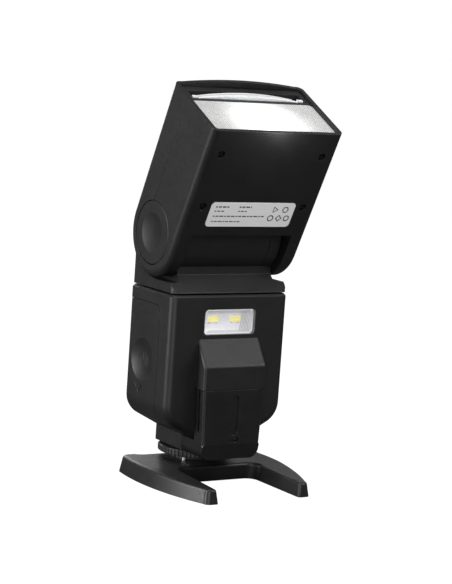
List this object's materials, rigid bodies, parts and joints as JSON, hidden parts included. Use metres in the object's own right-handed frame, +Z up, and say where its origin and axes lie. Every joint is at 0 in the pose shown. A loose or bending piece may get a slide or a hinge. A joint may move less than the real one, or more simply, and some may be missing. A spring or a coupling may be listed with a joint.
{
  "type": "speedlight flash",
  "caption": "Camera flash with a tilting and swivelling rectangular head, a front lamp window and a side battery door, held by its shoe foot on a small two-legged stand.",
  "frame": {"origin": "centre of the tripod thread in the stand's bottom face, which rests on the table", "axes": "+Z up, -Y the side that the lamp window and front cover face, +X to the right of someone who looks along +Y"},
  "size_m": [0.0836, 0.0877, 0.2134],
  "materials": {
    "case_plastic": "fine grained black moulded plastic",
    "cover_plastic": "satin black moulded plastic",
    "door_plastic": "fine grained black moulded plastic",
    "stand_plastic": "black moulded plastic with a light grain",
    "inner_plastic": "plain dark grey moulded plastic",
    "wheel_plastic": "black plastic with a ribbed rim",
    "button_rubber": "dark grey silicone keys",
    "shoe_steel": "brushed plate steel",
    "screw_steel": "blackened steel",
    "thread_brass": "turned brass",
    "contact_nickel": "nickel plated spring steel",
    "lens_clear": "clear ribbed acrylic",
    "window_clear": "clear acrylic",
    "window_smoked": "smoked acrylic",
    "tray_white": "white reflective plastic",
    "chip_yellow": "yellow phosphor",
    "board_green": "green circuit board",
    "sleeve_black": "shrunk plastic sleeve",
    "winding_tape": "yellow winding tape",
    "reflector_silver": "polished aluminium sheet",
    "tube_glass": "clear quartz tube",
    "boot_silicone": "white silicone",
    "panel_clear": "clear ribbed acrylic",
    "card_white": "white plastic card",
    "label_white": "white printed foil",
    "screen_grey": "unlit liquid crystal panel",
    "sensor_dark": "dark resin lens"
  },
  "bodies": {
    "stand": {"stand_base": "stand_plastic", "cold_shoe": "shoe_steel", "shoe_screws": "screw_steel", "stand_insert": "thread_brass"},
    "flash_body": {"foot_plate": "shoe_steel", "contact_pin": "thread_brass", "clamp_plate": "shoe_steel", "foot_block": "case_plastic", "foot_screws": "screw_steel", "front_shell": "case_plastic", "rear_shell": "case_plastic", "front_cover": "cover_plastic", "photo_sensor": "sensor_dark", "sensor_board": "board_green", "lamp_window": "window_clear", "lamp_tray": "tray_white", "lamp_chips": "chip_yellow", "lamp_board": "board_green", "battery_tray": "inner_plastic", "tray_contacts": "contact_nickel", "main_capacitor": "sleeve_black", "main_board": "board_green", "boost_transformer": "winding_tape", "control_board": "board_green", "tact_switches": "inner_plastic", "display_module": "screen_grey", "display_window": "window_smoked", "body_screws": "screw_steel"},
    "wheel": {"lock_wheel": "wheel_plastic"},
    "mode_key": {"button_mode": "button_rubber"},
    "minus_key": {"button_minus": "button_rubber"},
    "plus_key": {"button_plus": "button_rubber"},
    "test_key": {"button_test": "button_rubber"},
    "switch_knob": {"power_switch": "cover_plastic"},
    "door_slider": {"door_pin": "contact_nickel"},
    "door": {"battery_door": "door_plastic", "door_contacts": "contact_nickel"},
    "neck": {"neck_front": "case_plastic", "neck_rear": "case_plastic", "swivel_ring": "inner_plastic", "swivel_spring": "contact_nickel", "detent_drum": "case_plastic", "detent_plate": "contact_nickel"},
    "head": {"head_front_shell": "case_plastic", "head_rear_shell": "case_plastic", "hinge_cap_left": "case_plastic", "hinge_cap_right": "case_plastic", "tilt_axle": "inner_plastic", "fresnel_lens": "lens_clear", "lens_frame": "inner_plastic", "reflector": "reflector_silver", "flash_tube": "tube_glass", "tube_boots": "boot_silicone", "trigger_board": "board_green", "trigger_coil": "winding_tape", "head_screws": "screw_steel", "rating_label": "label_white"},
    "panel": {"wide_panel": "panel_clear"},
    "card": {"bounce_card": "card_white"}
  },
  "joints": [
    {"name": "stand_release", "type": "slide", "parent": "stand", "child": "flash_body", "axis": [0, 1, 0], "range_m": [0, 0.022]},
    {"name": "wheel_turn", "type": "hinge", "parent": "flash_body", "child": "wheel", "pos_m": [0, 0, 0.0133], "axis": [0, 0, 1], "range_deg": [0, 360]},
    {"name": "mode_press", "type": "slide", "parent": "flash_body", "child": "mode_key", "axis": [0, -1, 0], "range_m": [0, 0.0006], "stiffness_N_per_m": 2000, "springref_m": -0.0003},
    {"name": "minus_press", "type": "slide", "parent": "flash_body", "child": "minus_key", "axis": [0, -1, 0], "range_m": [0, 0.0006], "stiffness_N_per_m": 2000, "springref_m": -0.0003},
    {"name": "plus_press", "type": "slide", "parent": "flash_body", "child": "plus_key", "axis": [0, -1, 0], "range_m": [0, 0.0006], "stiffness_N_per_m": 2000, "springref_m": -0.0003},
    {"name": "test_press", "type": "slide", "parent": "flash_body", "child": "test_key", "axis": [0, -1, 0], "range_m": [0, 0.0006], "stiffness_N_per_m": 2000, "springref_m": -0.0003},
    {"name": "power_slide", "type": "slide", "parent": "flash_body", "child": "switch_knob", "axis": [1, 0, 0], "range_m": [0, 0.009]},
    {"name": "door_slide", "type": "slide", "parent": "flash_body", "child": "door_slider", "axis": [0, 0, -1], "range_m": [0, 0.004]},
    {"name": "door_swing", "type": "hinge", "parent": "door_slider", "child": "door", "pos_m": [-0.0347, 0.0142, 0.069], "axis": [0, 0, -1], "range_deg": [0, 110]},
    {"name": "head_swivel", "type": "hinge", "parent": "flash_body", "child": "neck", "pos_m": [0, -0.0053, 0.1], "axis": [0, 0, 1], "range_deg": [-180, 90]},
    {"name": "head_tilt", "type": "hinge", "parent": "neck", "child": "head", "pos_m": [0, -0.0082, 0.1319], "axis": [1, 0, 0], "range_deg": [-27.2, 62.8]},
    {"name": "panel_slide", "type": "slide", "parent": "head", "child": "panel", "axis": [0, -0.4571, 0.8894], "range_m": [0, 0.04]},
    {"name": "card_slide", "type": "slide", "parent": "head", "child": "card", "axis": [0, -0.4571, 0.8894], "range_m": [0, 0.04]}
  ]
}
